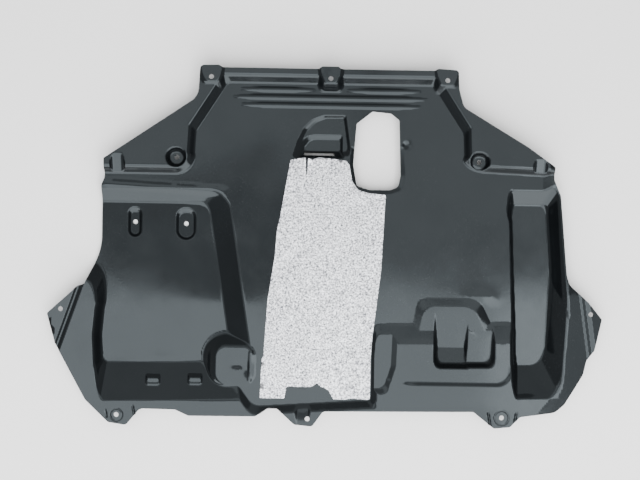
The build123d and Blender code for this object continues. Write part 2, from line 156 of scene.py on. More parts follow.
# Height over an outline: each side is a plane rising outwards by rise over its run. Planes that meet at a
# bulging corner are joined by the rounded larger value, at a hollow corner by the rounded smaller one. The
# blend at a point is the mean of the corners' own, weighted by one over distance to the sixth. The second
# value is the slope there.
def slopeField(x, y, shape, rise):
    table = np.array(shape["corners"], float)
    corners, runs, radii = table[:, :2], table[:, 2], table[:, 3]
    count = len(corners)
    slopes = rise / runs
    planes = sideDistances(x, y, corners) * slopes[:, None]
    along = np.roll(corners, -1, axis=0) - corners
    angles = np.arctan2(along[:, 1], along[:, 0])
    turns = np.abs((angles - np.roll(angles, 1) + np.pi) % (2 * np.pi) - np.pi)
    blends = 4 * radii * (1 - np.cos(turns / 2)) * (slopes + np.roll(slopes, 1)) / 2
    squares = (x[None] - corners[:, :1]) ** 2 + (y[None] - corners[:, 1:]) ** 2
    share = 1 / (squares + 4) ** 3  # the 4 keeps it finite at the corner itself
    blend = blends @ (share / share.sum(axis=0))

    def join(parts, bulging):
        value, slope = parts[0]
        for other, otherSlope in parts[1:]:
            weight = np.clip(0.5 + (other - value) / np.maximum(2 * blend, 1e-6), 0, 1)
            weight = weight if bulging else 1 - weight
            slope = slope + (otherSlope - slope) * weight
            value = roundedMax(value, other, blend) if bulging else roundedMin(value, other, blend)
        return value, slope

    def chain(run, bulging):
        hull = hullOf(corners if bulging else corners * [1, -1], run)
        places = [run.index(corner) for corner in hull[:-1]] + [len(run) - 1]
        parts = []
        for first, last in zip(places[:-1], places[1:]):
            if last == first + 1:
                parts.append((planes[run[first] % count], np.full(len(x), slopes[run[first] % count])))
            else:
                parts.append(chain(run[first:last + 1], not bulging))
        return join(parts, bulging)

    lowest = int(np.lexsort((corners[:, 0], corners[:, 1]))[0])
    return chain([(lowest + step) % count for step in range(count)] + [lowest], True)


# Blend that rounds a crease by a bend radius where a slope meets the flat: radius times secant less one.
def bendBlend(radius, slope):
    return radius * (np.hypot(1, slope) - 1)


# Factor by which bends grow where the sheet was drawn softer: a smooth step along x or y for each row.
def softness(x, y, shape):
    factor = 1.0
    for axis, start, end, most in shape.get("soft", []):
        factor = factor + (most - 1) * faded(x if axis == "x" else y, (start, end))
    return factor


# Recess: the smaller of the old height and a floor with the outline's slopes around it.
def pressDown(z, x, y, shape, floor=None):
    value, slope = slopeField(x, y, shape, shape["near"] - shape["far"])
    floor = shape["far"] if floor is None else floor
    soft = softness(x, y, shape)
    inside = roundedMax(shape["near"] + value, floor, bendBlend(shape["end"] * soft, slope))
    return roundedMin(z, inside, bendBlend(shape["rim"] * soft, slope))


# Raised field: the larger of the old height and a top with the outline's slopes around it.
def raiseUp(z, x, y, shape):
    value, slope = slopeField(x, y, shape, shape["far"] - shape["near"])
    soft = softness(x, y, shape)
    top = roundedMin(shape["near"] - value, shape["far"], bendBlend(shape["end"] * soft, slope))
    return roundedMax(z, top, bendBlend(shape["rim"] * soft, slope))


# Cup: distance outside an upright slot of the given width and length, turned into a tapered wall and a floor.
# The wall is gentler at the front.
def cup(z, x, y, place):
    centreX, centreY, width, length, run, near, far = place
    bend, softer = shield["cups"]["bend"], shield["cups"]["frontSoftness"]
    straight = (length - width) / 2
    beyond = np.maximum(np.abs(y - centreY) - straight, 0)
    reach = np.hypot(x - centreX, beyond)
    front = np.where(y > centreY, beyond / np.maximum(reach, 1e-6), 0)
    outside = reach - width / 2
    slope = (near - far) / (run * (1 + softer * front ** 2))
    inside = roundedMax(near + outside * slope, far, bendBlend(bend, slope))
    return roundedMin(z, inside, bendBlend(bend, slope))


# Bead: a round bar sunk in the panel, whose radius shrinks along a straight line to both ends.
def bead(z, x, y, place):
    start, end, middle = place
    beads = shield["beads"]
    sunk = beads["radius"] - beads["height"]
    reach = np.clip(np.minimum(x - start, end - x) / beads["taper"], 0, 1)
    radius = sunk + beads["height"] * reach
    across = np.abs(y - middle)
    outside = np.maximum(np.maximum(across - radius, 0), np.maximum(start - x, x - end))
    bar = shield["panel"] - sunk + np.sqrt(np.maximum(radius ** 2 - across ** 2, 0))
    return roundedMax(z, bar - beads["outerSlope"] * np.maximum(outside, 0), beads["blend"])


# Scallop: a trough of round section and flat middle that climbs from the panel to the frame's top.
def scallop(z, x, y, place):
    centreX, startY = place
    shape = shield["scallops"]
    radius = shape["radius"]
    across = np.maximum(np.abs(x - centreX) - shape["flat"], 0)
    bottom = shield["panel"] + shape["rise"] + np.maximum(y - startY, 0) * shape["slope"]
    outside = np.maximum(across - radius, 0) + np.maximum(startY - y, 0)
    trough = bottom + radius - np.sqrt(np.maximum(radius ** 2 - across ** 2, 0))
    return roundedMin(z, trough + shape["outerSlope"] * outside, shape["blend"])


# Distances along a line from its start and to the right of it, and the line's length.
def lineDistances(x, y, start, end):
    start, end = np.array(start), np.array(end)
    length = np.linalg.norm(end - start)
    along = (end - start) / length
    ahead = (x - start[0]) * along[0] + (y - start[1]) * along[1]
    right = (x - start[0]) * along[1] - (y - start[1]) * along[0]
    return ahead, right, length


# Groove: distance outside a straight strip turned into sloping sides above a narrow floor.
def groove(z, x, y):
    shape = shield["groove"]
    ahead, right, length = lineDistances(x, y, shape["start"], shape["end"])
    outside = np.maximum(np.abs(right) - shape["width"] / 2, np.abs(ahead - length / 2) - length / 2)
    slope = shape["depth"] * 2 / (shape["width"] - shape["floorWidth"])
    inside = roundedMax(shield["flange"] + outside * slope, shield["flange"] - shape["depth"], shape["blend"])
    return roundedMin(z, inside, shape["blend"])


# Landing: distance outside a rounded rectangle turned into a smooth fall from its flat top.
def landing(z, x, y):
    shape = shield["landing"]
    radius = shape["radius"]
    acrossX = np.maximum(np.maximum(shape["left"] + radius - x, x - shape["right"] + radius), 0)
    acrossY = np.maximum(np.maximum(shape["rear"] + radius - y, y - shape["front"] + radius), 0)
    outside = np.hypot(acrossX, acrossY) - radius
    fall = (shape["level"] - shape["floor"]) * smoothStep(outside / shape["run"])
    fall = fall + shape["outerSlope"] * np.maximum(outside - shape["run"], 0)
    return roundedMax(z, shape["level"] - fall, shape["blend"])


# Bowl of the middle rear tab: a floor that rises towards the rear between two soft sides, open to the basin.
def bowl(z, x, y):
    shape = shield["bowl"]
    outside = np.maximum(shape["left"] - x, x - shape["right"])
    floor = shield["panel"] + shape["rise"] + shape["slope"] * np.maximum(shape["front"] - y, 0)
    wall = floor + np.maximum(outside + shape["run"], 0) * shape["sideHeight"] / shape["run"]
    wall = wall + shape["openSlope"] * np.maximum(y - shape["open"], 0)
    return roundedMin(z, roundedMax(wall, floor, shape["blend"]), shape["blend"])


# Right tab: the flange falls outwards from a line beside the tub's rim and round its rear corner. Beyond the
# fold it steps up, and it climbs once more at the plate's ridge.
def skirt(z, x, y):
    shape = shield["skirt"]
    side = (x - shape["start"] + shape["frontLean"] * np.maximum(y - shape["frontLeanFrom"], 0)
            - shape["rearLean"] * np.minimum(y - shape["rearLeanFrom"], 0))
    corner = (shape["cornerFacing"][0] * (x - shape["corner"][0])
              + shape["cornerFacing"][1] * (y - shape["corner"][1]))
    out = roundedMax(side, corner, shape["cornerBlend"])
    fall = shape["slope"] * np.maximum(out, 0) * smoothStep(out / shape["ease"] + 0.5)
    left = -lineDistances(x, y, shape["foldStart"], shape["foldEnd"])[1]
    climb = shape["step"] * smoothStep(left / shape["stepRun"])
    climb = climb + shape["ridgeSlope"] * np.clip(left - shape["ridge"], 0, shape["ridgeRun"])
    return z + (climb - fall) * faded(z, shield["flangeFade"])


# Rib: a cosine bump across a straight line, faded at both ends.
def rib(x, y, place):
    start, end, width, height = place
    ahead, right, length = lineDistances(x, y, start, end)
    fade = smoothStep(ahead / (2 * width)) * smoothStep((length - ahead) / (2 * width))
    return height * fade * (0.5 + 0.5 * np.cos(np.clip(right / width, -1, 1) * math.pi))


# Gentle waves: a sum of sines, each along its own direction.
def waves(x, y, rows):
    return sum(height * np.sin(2 * math.pi * (x / lengthX + y / lengthY) + phase)
               for height, lengthX, lengthY, phase in rows)


# Fine relief on the fields. Spots are hills and hollows: x, y, half width in x and in y, height. Rings round
# the holes are x, y, radius. A fade goes from nothing at its first value to all at its second.
relief = {
    "rearStep": {"height": 2.4, "front": -243.0, "right": 340.0, "radius": 22.0, "run": 9.0,
                 "leftFade": (135.0, 180.0), "rightFade": (395.0, 365.0), "frontFade": (-208.0, -230.0),
                 "rearFade": (-297.0, -263.0)},
    "spots": [(145, 192, 6, 6, -2.0), (-114, 150, 26, 80, -1.0), (-205, 0, 80, 60, -1.5),
              (-195, -115, 85, 60, 1.5), (250, -30, 120, 60, -0.6), (200, 190, 80, 60, 0.5),
              (209, 110, 42, 44, 1.0), (-142, -226, 8, 13, -1.6), (-160, -219, 12, 6, -1.1),
              (290, -86, 22, 11, 1.4), (-300, -214, 34, 14, 0.8), (-385, -205, 30, 16, -0.8),
              (-215, -200, 26, 20, -0.7)],
    # height, wave length along x and along y, phase
    "waves": [(0.30, 410, 530, 0.4), (0.26, -290, 640, 2.1), (0.18, 350, -260, 4.0), (0.12, 900, 190, 1.2)],
    "ribs": [  # start, end, half width, height
        ((-430.0, 114.0), (-180.0, 100.0), 13.0, 1.4), ((-135.0, -186.0), (-138.0, -256.0), 6.0, 1.1),
        ((304.0, -296.0), (310.0, -330.0), 3.0, -1.8), ((357.0, -296.0), (351.0, -330.0), 3.0, -1.8),
        ((-352.0, -294.0), (-346.0, -322.0), 3.0, -1.6), ((-402.0, -302.0), (-398.0, -322.0), 3.0, -1.0)],
    "rings": {"depth": 0.7, "halfWidth": 2.2, "places": [(329, -308, 13.0), (-381, -314, 11.0)]},
}


# Step in the rear flange: distance outside a quarter plane with a rounded corner, turned into a low rise
# that dies away on all sides and is left out wherever the sheet lies below the flange.
def rearStep(z, x, y):
    step = relief["rearStep"]
    radius = step["radius"]
    outside = np.hypot(np.maximum(x - step["right"] + radius, 0),
                       np.maximum(step["front"] + radius - y, 0)) - radius
    fade = faded(x, step["leftFade"]) * faded(x, step["rightFade"])
    fade = fade * faded(y, step["frontFade"]) * faded(y, step["rearFade"])
    return step["height"] * smoothStep(outside / step["run"]) * fade * faded(z, shield["flangeFade"])


# Fixing pads: raised fields with a rounded rear side, open to the front edge.
def raisePads(z, x, y):
    pads = shield["pads"]
    radius, sideRun = pads["radius"], pads["sideRun"]
    for centre in pads["places"]:
        left, right = centre - pads["width"] / 2, centre + pads["width"] / 2
        z = raiseUp(z, x, y, {"near": shield["panel"], "far": pads["level"], "rim": pads["rim"],
                              "end": pads["end"], "corners": [
            (left, pads["open"], sideRun, 0), (left, pads["rear"], pads["rearRun"], radius),
            (right, pads["rear"], sideRun, radius), (right, pads["open"], sideRun, 0)]})
    return z


# Louvres: small boxes that stand out of the left tub's rear slope.
def raiseLouvres(z, x, y):
    louvres = shield["louvres"]
    radius, wallRun = louvres["radius"], louvres["wallRun"]
    for middleX, middleY in louvres["places"]:
        left, right = middleX - louvres["width"] / 2, middleX + louvres["width"] / 2
        front, rear = middleY + louvres["length"] / 2, middleY - louvres["length"] / 2
        z = raiseUp(z, x, y, {"near": shield["leftTub"]["far"], "far": louvres["level"],
                              "rim": louvres["rim"], "end": louvres["end"], "corners": [
            (left, front, wallRun, radius), (left, rear, wallRun, radius),
            (right, rear, wallRun, radius), (right, front, louvres["frontRun"], radius)]})
    return z


# Trimmed edge of the sheet and what is cut out of it: x, y and radius of each corner. Holes are x and y.
trim = {
    "outline": [
        (-202, 331.9, 4), (-236, 331, 8), (-239, 274, 30), (-411, 158, 3), (-411, 124, 20), (-417, 109, 12),
        (-417, -6, 110), (-444, -74, 4), (-456, -78, 6), (-512, -129, 3), (-496, -185, 8), (-439, -287, 12),
        (-396, -328, 8), (-363, -332.9, 8), (-338, -302, 14), (-273, -303, 12), (-248, -314, 10),
        (-125, -313, 8), (-103, -298, 8), (-85, -298, 8), (-53, -327, 8), (-20, -330, 8), (0, -302, 8),
        (277, -298, 8), (315, -328, 7), (345, -325, 8), (363, -306, 8), (428, -297, 20), (445, -282, 14),
        (479, -226, 20), (485, -200, 10), (499, -182, 6), (512, -124, 3), (486, -93, 30), (450, -61, 14),
        (445, -44, 14), (432, 103, 24), (419, 132, 12), (419, 155, 3), (368, 191, 6), (249, 262, 20),
        (240, 294, 20), (238, 329, 7), (201, 331, 4), (195, 328, 4), (22, 328, 4), (18, 331.9, 4),
        (-12, 331.9, 4), (-18, 328, 4), (-195, 328, 4)],
    "cutOut": [
        (82, 253, 4), (53, 230, 4), (48, 154, 20), (55, 115, 6), (78, 108, 12), (116, 108, 14),
        (132, 114, 10), (136, 135, 14), (132, 238, 4), (116, 250, 6)],
    "slot": [(-43, 170.5, 1), (15, 170.5, 1), (10, 177, 1), (-43, 177, 1)],
    "holeRadius": 4.5,
    "holePoints": 24,
    "holes": [(-215, 310), (4, 310), (218, 310), (-278, 162), (280, 162), (-356, 42), (-261, 40),
              (-487, -121), (491, -115), (-381, -314), (-29, -316), (329, -308)],
    "spacing": 4.0,
}


# Outline of the lip: the cut-out's corners moved out by the lip's reach.
def lipShape():
    corners = np.array(trim["cutOut"], float)[:, :2]
    before, after = corners - np.roll(corners, 1, axis=0), np.roll(corners, -1, axis=0) - corners
    before /= np.linalg.norm(before, axis=1)[:, None]
    after /= np.linalg.norm(after, axis=1)[:, None]
    turn = before[:, 0] * after[:, 1] - before[:, 1] * after[:, 0]
    lip = shield["lip"]
    moved = corners - lip["reach"] * (after - before) / turn[:, None]
    return dict(lip, corners=[(cornerX, cornerY, lip["reach"], lip["radius"]) for cornerX, cornerY in moved])


lipOutline = lipShape()


# Low relief left by the forming: ribs, rings round holes, hills, waves and the step of the rear flange.
def addRelief(z, x, y):
    z = z + rearStep(z, x, y) + waves(x, y, relief["waves"])
    for place in relief["ribs"]:
        z = z + rib(x, y, place)
    rings = relief["rings"]
    for middleX, middleY, radius in rings["places"]:
        away = np.hypot(x - middleX, y - middleY) - radius
        z = z - rings["depth"] * (1 - smoothStep(np.abs(away) / rings["halfWidth"]))
    for middleX, middleY, widthX, widthY, height in relief["spots"]:
        z = z + height * np.exp(-((x - middleX) / widthX) ** 2 - ((y - middleY) / widthY) ** 2)
    return z


# Height of the sheet's upper face over the floor, feature by feature in the order they are pressed. It is
# held between the deepest tub and just below the pads' tops.
def shieldHeight(x, y):
    z = np.full(len(x), shield["flange"])
    z = pressDown(z, x, y, shield["basin"])
    z = raiseUp(z, x, y, shield["frontFrame"])
    z = raisePads(z, x, y)
    z = raiseUp(z, x, y, shield["bar"])
    z = pressDown(z, x, y, shield["leftTub"])
    z = pressDown(z, x, y, shield["rightTub"])
    z = landing(z, x, y)
    z = raiseLouvres(z, x, y)
    for place in shield["beads"]["places"]:
        z = bead(z, x, y, place)
    for place in shield["cups"]["places"]:
        z = cup(z, x, y, place)
    z = pressDown(z, x, y, shield["scoop"])
    lip = shield["lip"]
    z = pressDown(z, x, y, lipOutline, lip["far"] + lip["fadeRise"] * faded(y, lip["fade"]))
    z = pressDown(z, x, y, shield["scoopStep"])
    tilt = shield["recessFloor"]
    z = pressDown(z, x, y, shield["recess"], shield["recess"]["far"] + tilt["slope"] * (y - tilt["hinge"]))
    valley = shield["valleyFloor"]
    fold = y - valley["line"]
    climb = np.maximum(valley["frontSlope"] * fold, valley["backSlope"] * fold)
    z = pressDown(z, x, y, shield["valley"], shield["valley"]["far"] + climb)
    z = pressDown(z, x, y, shield["shelf"])
    z = groove(z, x, y)
    for place in shield["scallops"]["places"]:
        z = scallop(z, x, y, place)
    z = bowl(z, x, y)
    z = skirt(z, x, y)
    z = addRelief(z, x, y)
    limits = shield["limits"]
    z = roundedMax(z, shield["rightTub"]["far"], limits["blend"])
    return roundedMin(z, shield["pads"]["level"] - limits["below"], limits["blend"])


# Closed outline with its corners rounded by arcs, as points no further apart than the spacing, and closer
# on the arcs.
def roundedOutline(corners, spacing, arcStep=1.5):
    table = np.array(corners, float)
    points = []
    for index in range(len(table)):
        before, here, after = table[index - 1, :2], table[index, :2], table[(index + 1) % len(table), :2]
        u = (here - before) / np.linalg.norm(here - before)
        v = (after - here) / np.linalg.norm(after - here)
        turn = math.atan2(u[0] * v[1] - u[1] * v[0], float(u @ v))
        radius = max(table[index, 2], 0.1)
        setback = radius * abs(math.tan(turn / 2))
        steps = max(int(abs(turn) * radius / arcStep), 2)
        angles = np.linspace(0, turn, steps + 1)
        inward = np.array([-u[1], u[0]]) * math.copysign(1, turn)
        centre = here - u * setback + inward * radius
        arm = -inward * radius
        points.append(np.stack([centre[0] + arm[0] * np.cos(angles) - arm[1] * np.sin(angles),
                                centre[1] + arm[0] * np.sin(angles) + arm[1] * np.cos(angles)], axis=1))
    loop = np.concatenate(points)
    gaps = np.roll(loop, -1, axis=0) - loop
    lengths = np.linalg.norm(gaps, axis=1)
    counts = np.maximum(np.ceil(lengths / spacing).astype(int), 1)
    which = np.repeat(np.arange(len(loop)), counts)
    step = (np.arange(counts.sum()) - np.repeat(np.cumsum(counts) - counts, counts)) / counts[which]
    return loop[which] + gaps[which] * step[:, None]


# Circle as evenly spaced points: centre plus radius times cosine and sine.
def circle(centreX, centreY, radius, count):
    angle = np.arange(count) * 2 * math.pi / count
    return np.stack([centreX + radius * np.cos(angle), centreY + radius * np.sin(angle)], axis=1)


# Whether points lie inside closed loops, by the parity of edges that a ray to the right crosses. The batch
# only bounds the memory, here and in the next function.
def insideLoops(points, loops, batch=4000):
    parity = np.zeros(len(points), bool)
    for loop in loops:
        after = np.roll(loop, -1, axis=0)
        climb = np.where(after[:, 1] == loop[:, 1], 1, after[:, 1] - loop[:, 1])
        for first in range(0, len(points), batch):
            x, y = points[first:first + batch, 0][:, None], points[first:first + batch, 1][:, None]
            spans = (loop[None, :, 1] > y) != (after[None, :, 1] > y)
            cross = loop[None, :, 0] + (y - loop[None, :, 1]) * ((after[:, 0] - loop[:, 0]) / climb)[None]
            parity[first:first + batch] ^= (np.sum(spans & (x < cross), axis=1) % 2).astype(bool)
    return parity


# Distance from each point to the nearest of the others.
def nearestDistance(points, others, batch=2000):
    found = np.empty(len(points))
    for first in range(0, len(points), batch):
        part = points[first:first + batch]
        squares = (part[:, None, 0] - others[None, :, 0]) ** 2 + (part[:, None, 1] - others[None, :, 1]) ** 2
        found[first:first + batch] = np.sqrt(squares.min(axis=1))
    return found


# Unit normal of a height function, from its slopes over a small step.
def heightNormals(height, x, y, step=0.3):
    slopeX = (height(x + step, y) - height(x - step, y)) / (2 * step)
    slopeY = (height(x, y + step) - height(x, y - step)) / (2 * step)
    normal = np.stack([-slopeX, -slopeY, np.ones(len(x))], axis=1)
    return normal / np.linalg.norm(normal, axis=1)[:, None]


# Points inside the loops on nested square grids, each twice as fine as the last and used only where the slope
# changes by more than bendPerStep over two of its steps. Points very near to an edge are left out.
def gridPoints(height, loops, finest, levels, bendPerStep, edgeClearance=0.8):
    border = np.concatenate(loops)
    low, high = border.min(axis=0), border.max(axis=0)
    coarse = finest * 2 ** (levels - 1)
    xs = np.arange(math.floor(low[0] / coarse) * coarse, high[0] + coarse, finest)
    ys = np.arange(math.floor(low[1] / coarse) * coarse, high[1] + coarse, finest)
    gridX, gridY = np.meshgrid(xs, ys, indexing="ij")
    z = height(gridX.ravel(), gridY.ravel()).reshape(gridX.shape)
    bend = np.zeros(z.shape)
    for axis in (0, 1):
        second = np.abs(np.diff(z, 2, axis=axis)) / finest ** 2
        pad = [(1, 1), (0, 0)] if axis == 0 else [(0, 0), (1, 1)]
        bend = np.maximum(bend, np.pad(second, pad))
    keep = np.zeros(z.shape, bool)
    keep[::2 ** (levels - 1), ::2 ** (levels - 1)] = True
    for level in range(levels):
        pitch = 2 ** level
        wanted = bend * finest * pitch * 2 > bendPerStep
        for _ in range(pitch):
            grown = wanted.copy()
            grown[1:] |= wanted[:-1]
            grown[:-1] |= wanted[1:]
            grown[:, 1:] |= grown[:, :-1].copy()
            grown[:, :-1] |= grown[:, 1:].copy()
            wanted = grown
        fits = np.zeros(z.shape, bool)
        fits[::pitch, ::pitch] = True
        keep |= wanted & fits
    points = np.stack([gridX[keep], gridY[keep]], axis=1)
    points = points[insideLoops(points, loops)]
    return points[nearestDistance(points, border) > edgeClearance * finest]


# Pairs of neighbouring points round each loop, numbered through all loops.
def loopEdges(loops):
    starts = np.cumsum([0] + [len(loop) for loop in loops])
    return [np.stack([np.arange(len(loop)), np.roll(np.arange(len(loop)), -1)], axis=1) + start
            for loop, start in zip(loops, starts)]


# Triangles of the points between the loops, all turned to face up, with every loop's edges among them. Points
# that neither a triangle nor a loop uses are dropped and the rest numbered again.
def triangulated(loops, points):
    borderCount = sum(len(loop) for loop in loops)
    edges = np.concatenate(loopEdges(loops))
    flat = np.concatenate(loops + [points])
    made = delaunay_2d_cdt(flat.tolist(), edges.tolist(), [], 0, 1e-6, False)
    flat = np.array([(v[0], v[1]) for v in made[0]])
    triangles = np.array(made[2])
    doubtful = (triangles < borderCount).all(axis=1)
    keep = ~doubtful
    keep[doubtful] = insideLoops(flat[triangles[doubtful]].mean(axis=1), loops)
    triangles = triangles[keep]
    a, b, c = (flat[triangles[:, side]] for side in range(3))
    area = (b[:, 0] - a[:, 0]) * (c[:, 1] - a[:, 1]) - (b[:, 1] - a[:, 1]) * (c[:, 0] - a[:, 0])
    triangles = np.where(area[:, None] < 0, triangles[:, ::-1], triangles)
    used, numbered = np.unique(np.concatenate([triangles.ravel(), edges.ravel()]), return_inverse=True)
    rings = np.split(numbered[triangles.size:].reshape(-1, 2), np.cumsum([len(loop) for loop in loops])[:-1])
    return flat[used], numbered[:triangles.size].reshape(-1, 3), rings


# Whether a loop runs to the left: the sum of its points' cross products is above zero.
def runsLeft(loop):
    after = np.roll(loop, -1, axis=0)
    return np.sum(loop[:, 0] * after[:, 1] - loop[:, 1] * after[:, 0]) > 0


# Mesh object from points in metres, the corners of all faces in one row, and each face's number of corners.
def meshPiece(name, verts, corners, sizes, cornerNormals):
    mesh = bpy.data.meshes.new(name)
    mesh.vertices.add(len(verts))
    mesh.vertices.foreach_set("co", verts.ravel())
    mesh.loops.add(len(corners))
    mesh.loops.foreach_set("vertex_index", corners.astype(np.int32))
    mesh.polygons.add(len(sizes))
    mesh.polygons.foreach_set("loop_start", (np.cumsum(sizes) - sizes).astype(np.int32))
    mesh.update(calc_edges=True)
    mesh.validate()
    mesh.shade_smooth()
    mesh.normals_split_custom_set(cornerNormals.tolist())
    piece = bpy.data.objects.new(name, mesh)
    bpy.context.collection.objects.link(piece)
    return piece


# Sheet of even thickness under a height function: both faces share one triangulation, the lower face's points
# lie the thickness away along the upper one's normals, and a rim of quads closes every loop.
def sheetMesh(name, height, loops, points, thickness):
    flat, triangles, rings = triangulated(loops, points)
    x, y = flat[:, 0], flat[:, 1]
    upper = np.column_stack([x, y, height(x, y)])
    normals = heightNormals(height, x, y)
    lower = upper - normals * thickness
    rim = np.concatenate([ring if runsLeft(loop) == (loop is loops[0]) else ring[:, ::-1]
                          for loop, ring in zip(loops, rings)])
    below = rim + len(flat)
    quads = np.stack([rim[:, 0], below[:, 0], below[:, 1], rim[:, 1]], axis=1)
    along = flat[rim[:, 1]] - flat[rim[:, 0]]
    outward = np.column_stack([along[:, 1], -along[:, 0], np.zeros(len(rim))])
    outward /= np.linalg.norm(outward, axis=1)[:, None]
    underside = triangles[:, ::-1]
    corners = np.concatenate([triangles.ravel(), (underside + len(flat)).ravel(), quads.ravel()])
    sizes = np.concatenate([np.full(2 * len(triangles), 3), np.full(len(quads), 4)])
    cornerNormals = np.concatenate([normals[triangles.ravel()], -normals[underside.ravel()],
                                    np.repeat(outward, 4, axis=0)])
    print(name, "has", 2 * len(triangles) + 2 * len(quads), "triangles")
    return meshPiece(name, np.concatenate([upper, lower]) * mm, corners, sizes, cornerNormals)


shieldLoops = [roundedOutline(trim[name], trim["spacing"]) for name in ("outline", "cutOut", "slot")]
shieldLoops += [circle(x, y, trim["holeRadius"], trim["holePoints"]) for x, y in trim["holes"]]
shieldPoints = gridPoints(shieldHeight, shieldLoops, shield["finestGrid"], shield["gridLevels"],
                          shield["bendPerStep"])
shieldSheet = sheetMesh("shield_sheet", shieldHeight, shieldLoops, shieldPoints, shield["thickness"])
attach(shieldSheet, "root")
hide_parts("shield_panel")
print("shield sheet made")


# Reflector foil: it follows the sheet at a small distance, with its torn edges, the slit and the lifted flap.
foil = {
    "thickness": 0.5,
    "above": 0.9,
    "outline": [
        (-68, 161, 2), (-86, 53, 40), (-91, 29, 20), (-94, -17, 40), (-106, -99, 60), (-112, -202, 12),
        (-115, -208, 3), (-117.5, -280, 2), (-72, -280, 2), (-69, -259, 3), (-62, -257, 2), (-54, -258, 2),
        (-23, -258, 3), (-18, -255, 2), (-12, -250.5, 1.5), (-5, -257, 2), (3, -260, 2), (10, -264, 2),
        (18, -280, 2), (40, -280.5, 3), (50, -278, 3), (86, -280, 3), (86, -204, 20), (89, -162, 20),
        (103, -41, 60), (109, 99, 2), (76, 102.5, 8), (58, 108, 8), (47, 123, 10), (41, 154, 10),
        (35, 161, 4), (10, 164.5, 8), (-16, 167, 4), (-28, 161.5, 2), (-35.2, 165, 1), (-36.8, 134, 0.4),
        (-38.6, 134, 0.4), (-40.5, 166.5, 1)],
    "spacing": 3.0,
    "finestGrid": 3.0,
    "gridLevels": 3,
    "bendPerStep": 0.4,
    "flap": {"rise": 4.5, "frontFade": (150.0, 168.0), "leftFade": (-46.0, -40.0),
             "rightFade": (-20.0, -38.0)},
    "waves": [(0.22, 58, 92, 0.3), (0.20, -74, 61, 1.7), (0.12, 31, -27, 2.6), (0.10, 19, 41, 5.0)],
}


# Height of the foil's upper face: the sheet under it, a small distance, its waves, and the flap that stands
# up beside the slit.
def foilHeight(x, y):
    flap = foil["flap"]
    lifted = faded(y, flap["frontFade"]) * faded(x, flap["leftFade"]) * faded(x, flap["rightFade"])
    return shieldHeight(x, y) + foil["above"] + waves(x, y, foil["waves"]) + flap["rise"] * lifted


foilLoops = [roundedOutline(foil["outline"], foil["spacing"])]
foilPoints = gridPoints(foilHeight, foilLoops, foil["finestGrid"], foil["gridLevels"], foil["bendPerStep"])
reflectorFoil = sheetMesh("reflector_foil", foilHeight, foilLoops, foilPoints, foil["thickness"])
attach(reflectorFoil, "root")
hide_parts("heat_reflector")
print("reflector foil made")


# Noise on the object's own coordinates, with its scale in repeats for each metre.
def noise(tree, scale, detail=4.0, roughness=0.55):
    place = tree.nodes.new("ShaderNodeTexCoord")
    texture = tree.nodes.new("ShaderNodeTexNoise")
    texture.inputs["Scale"].default_value = scale
    texture.inputs["Detail"].default_value = detail
    texture.inputs["Roughness"].default_value = roughness
    tree.links.new(place.outputs["Object"], texture.inputs["Vector"])
    return texture.outputs["Fac"]


# Straight line from one range to another, held at its ends. Noise seldom leaves the range given here.
def mapped(tree, value, low=0.35, high=0.65, start=0.0, end=1.0):
    ramp = tree.nodes.new("ShaderNodeMapRange")
    for name, number in (("From Min", low), ("From Max", high), ("To Min", start), ("To Max", end)):
        ramp.inputs[name].default_value = number
    tree.links.new(value, ramp.inputs["Value"])
    return ramp.outputs["Result"]


# Mix of two colours by a factor, each a fixed colour or another node's output.
def mixed(tree, factor, first, second):
    mix = tree.nodes.new("ShaderNodeMix")
    mix.data_type = "RGBA"
    sockets = [socket for socket in mix.inputs if socket.type == "RGBA"]
    for socket, colour in zip(sockets, (first, second)):
        if isinstance(colour, tuple):
            socket.default_value = colour + (1.0,)
        else:
            tree.links.new(colour, socket)
    tree.links.new(factor, mix.inputs[0])
    return next(socket for socket in mix.outputs if socket.type == "RGBA")


# Product of two values.
def multiplied(tree, first, second):
    node = tree.nodes.new("ShaderNodeMath")
    node.operation = "MULTIPLY"
    for socket, value in zip(node.inputs, (first, second)):
        tree.links.new(value, socket)
    return node.outputs[0]


# Normal tilted by the slope of a height, which is as deep in metres as distance says.
def bumped(tree, height, strength, distance):
    bump = tree.nodes.new("ShaderNodeBump")
    bump.inputs["Strength"].default_value = strength
    bump.inputs["Distance"].default_value = distance
    tree.links.new(height, bump.inputs["Height"])
    return bump.outputs["Normal"]


plasticLook = {
    "dark": (0.0030, 0.0036, 0.0042), "light": (0.0046, 0.0054, 0.0062), "toneScale": 9.0,
    "dust": (0.030, 0.032, 0.034), "dustScale": 420.0, "dustRange": (0.60, 0.78), "dustMost": 0.5,
    "patchScale": 6.0, "patchRange": (0.45, 0.65),
    "roughness": (0.07, 0.14), "glossScale": 14.0, "ior": 1.38, "gleam": (0.82, 0.94, 1.0, 1.0),
    "peelScale": 260.0, "peelStrength": 0.05, "peelDepth": 0.0005,
}


